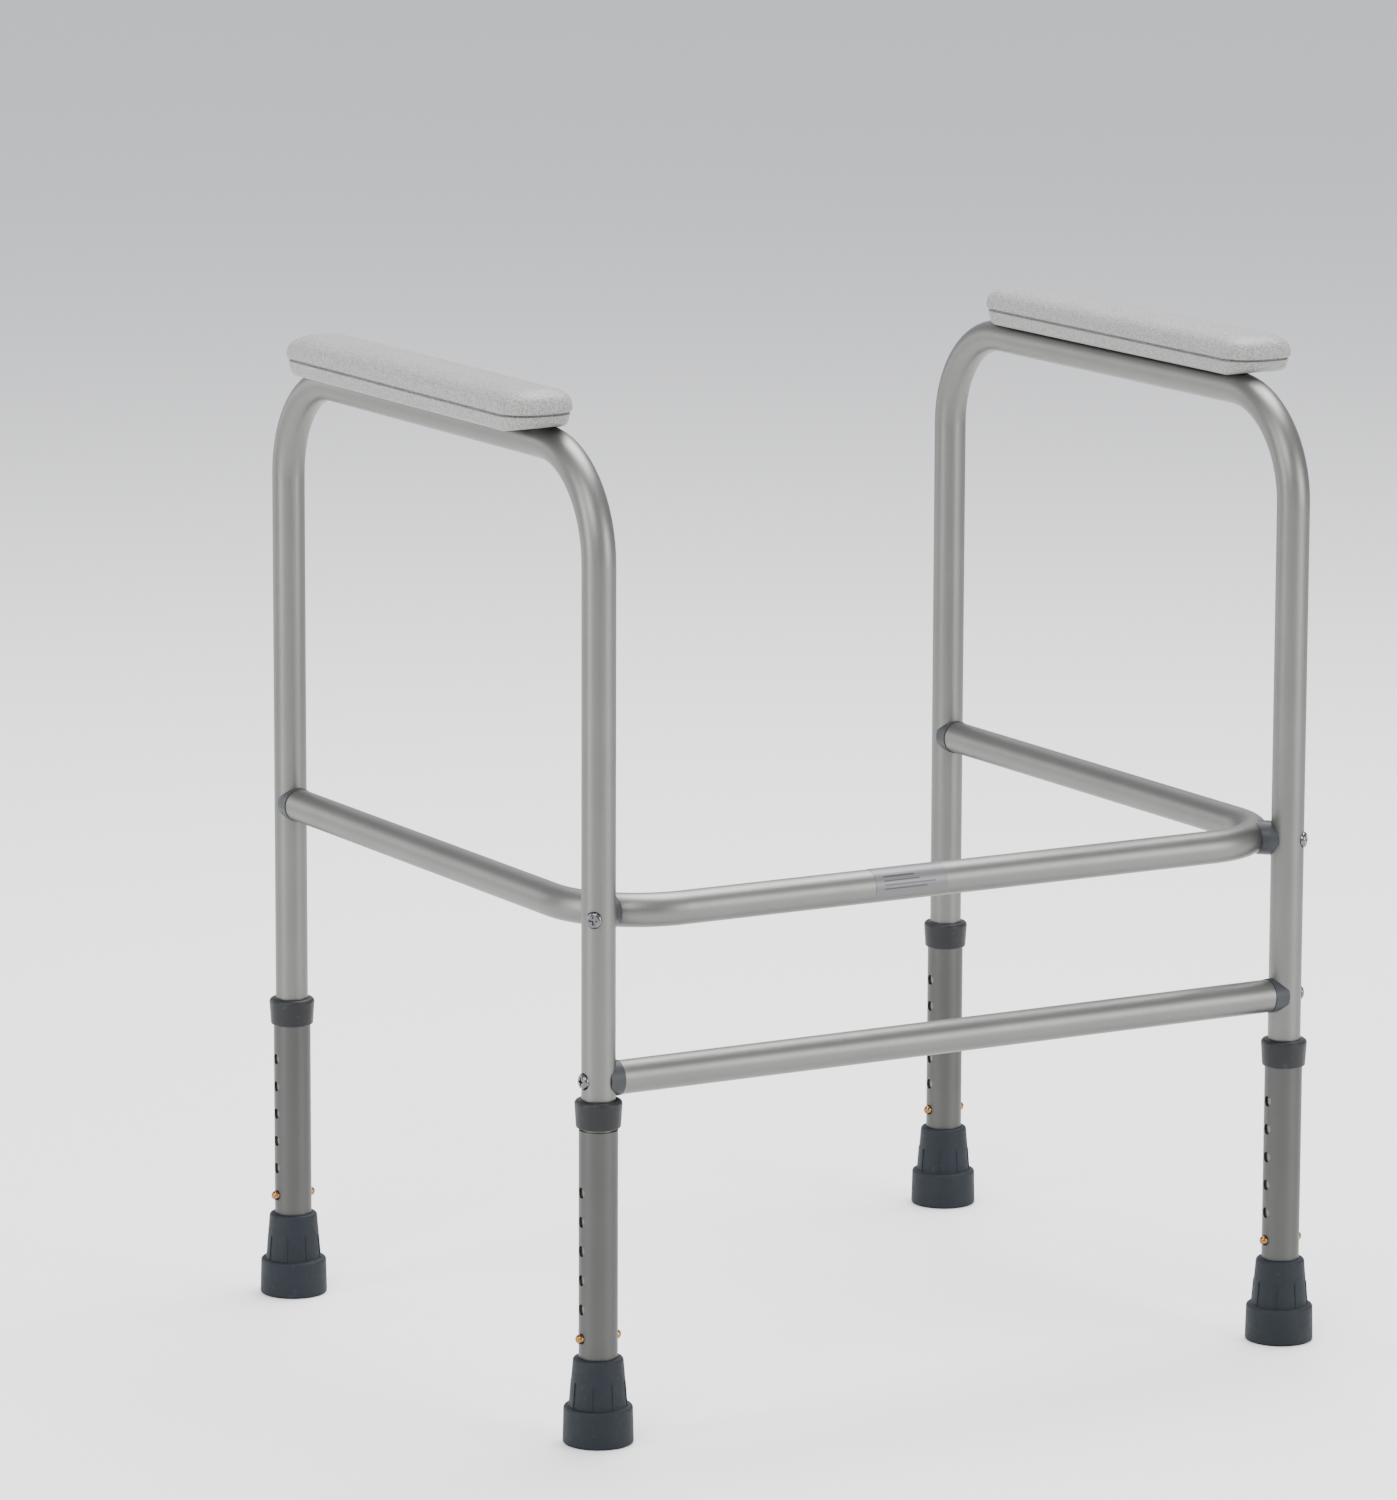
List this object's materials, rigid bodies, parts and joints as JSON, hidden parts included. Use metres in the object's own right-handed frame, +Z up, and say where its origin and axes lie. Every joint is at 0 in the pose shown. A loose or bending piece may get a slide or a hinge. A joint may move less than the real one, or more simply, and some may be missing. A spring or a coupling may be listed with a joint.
{
  "type": "toilet surround frame",
  "caption": "Free-standing aluminium toilet surround frame with padded arms, waist bar, lower front bar and push-button height-adjustable legs on rubber feet.",
  "frame": {"origin": "on the floor, midway between the four feet", "axes": "+Z up, -Y towards the open front with the lower bar, +X to the right of someone facing the front"},
  "size_m": [0.602, 0.4822, 0.6787],
  "materials": {
    "satin_aluminium": "satin anodised tube",
    "slate_plastic": "moulded, fine satin texture",
    "slate_rubber": "moulded blue-grey rubber, matt",
    "pad_foam": "integral-skin foam, light grey with fine speckle",
    "black_plastic": "moulded, matt",
    "plated_steel": "bright zinc plate",
    "button_brass": "turned brass, slightly tarnished",
    "label_film": "silver-white film, printed area left plain"
  },
  "bodies": {
    "frame": {"side_tube_left": "satin_aluminium", "corner_saddle_left": "slate_plastic", "corner_insert_left": "plated_steel", "corner_screw_left": "plated_steel", "rear_saddle_left": "slate_plastic", "rear_insert_left": "plated_steel", "rear_screw_left": "plated_steel", "bar_saddle_left": "slate_plastic", "bar_insert_left": "plated_steel", "bar_screw_left": "plated_steel", "arm_pad_left": "pad_foam", "arm_pad_plate_left": "black_plastic", "arm_pad_screws_left": "plated_steel", "side_tube_right": "satin_aluminium", "corner_saddle_right": "slate_plastic", "corner_insert_right": "plated_steel", "corner_screw_right": "plated_steel", "rear_saddle_right": "slate_plastic", "rear_insert_right": "plated_steel", "rear_screw_right": "plated_steel", "bar_saddle_right": "slate_plastic", "bar_insert_right": "plated_steel", "bar_screw_right": "plated_steel", "arm_pad_right": "pad_foam", "arm_pad_plate_right": "black_plastic", "arm_pad_screws_right": "plated_steel", "waist_bar": "satin_aluminium", "lower_bar": "satin_aluminium", "information_label": "label_film", "snap_clip_front_left": "button_brass", "snap_clip_front_right": "button_brass", "snap_clip_rear_left": "button_brass", "snap_clip_rear_right": "button_brass"},
    "leg_front_left": {"leg_tube_front_left": "satin_aluminium", "foot_front_left": "slate_rubber", "foot_washer_front_left": "plated_steel"},
    "collar_front_left": {"leg_collar_front_left": "slate_plastic"},
    "leg_front_right": {"leg_tube_front_right": "satin_aluminium", "foot_front_right": "slate_rubber", "foot_washer_front_right": "plated_steel"},
    "collar_front_right": {"leg_collar_front_right": "slate_plastic"},
    "leg_rear_left": {"leg_tube_rear_left": "satin_aluminium", "foot_rear_left": "slate_rubber", "foot_washer_rear_left": "plated_steel"},
    "collar_rear_left": {"leg_collar_rear_left": "slate_plastic"},
    "leg_rear_right": {"leg_tube_rear_right": "satin_aluminium", "foot_rear_right": "slate_rubber", "foot_washer_rear_right": "plated_steel"},
    "collar_rear_right": {"leg_collar_rear_right": "slate_plastic"}
  },
  "joints": [
    {"name": "leg_slide_front_left", "type": "slide", "parent": "frame", "child": "leg_front_left", "axis": [0, 0, -1], "range_m": [0, 0.0965], "deforming": ["snap_clip_front_left"]},
    {"name": "collar_slide_front_left", "type": "slide", "parent": "leg_front_left", "child": "collar_front_left", "axis": [0, 0, 1], "range_m": [-0.018, 0]},
    {"name": "leg_slide_front_right", "type": "slide", "parent": "frame", "child": "leg_front_right", "axis": [0, 0, -1], "range_m": [0, 0.0965], "deforming": ["snap_clip_front_right"]},
    {"name": "collar_slide_front_right", "type": "slide", "parent": "leg_front_right", "child": "collar_front_right", "axis": [0, 0, 1], "range_m": [0, 0.018]},
    {"name": "leg_slide_rear_left", "type": "slide", "parent": "frame", "child": "leg_rear_left", "axis": [0, 0, -1], "range_m": [0, 0.0965], "deforming": ["snap_clip_rear_left"]},
    {"name": "collar_slide_rear_left", "type": "slide", "parent": "leg_rear_left", "child": "collar_rear_left", "axis": [0, 0, 1], "range_m": [0, 0.018]},
    {"name": "leg_slide_rear_right", "type": "slide", "parent": "frame", "child": "leg_rear_right", "axis": [0, 0, -1], "range_m": [0, 0.0965], "deforming": ["snap_clip_rear_right"]},
    {"name": "collar_slide_rear_right", "type": "slide", "parent": "leg_rear_right", "child": "collar_rear_right", "axis": [0, 0, 1], "range_m": [0, 0.018]}
  ]
}
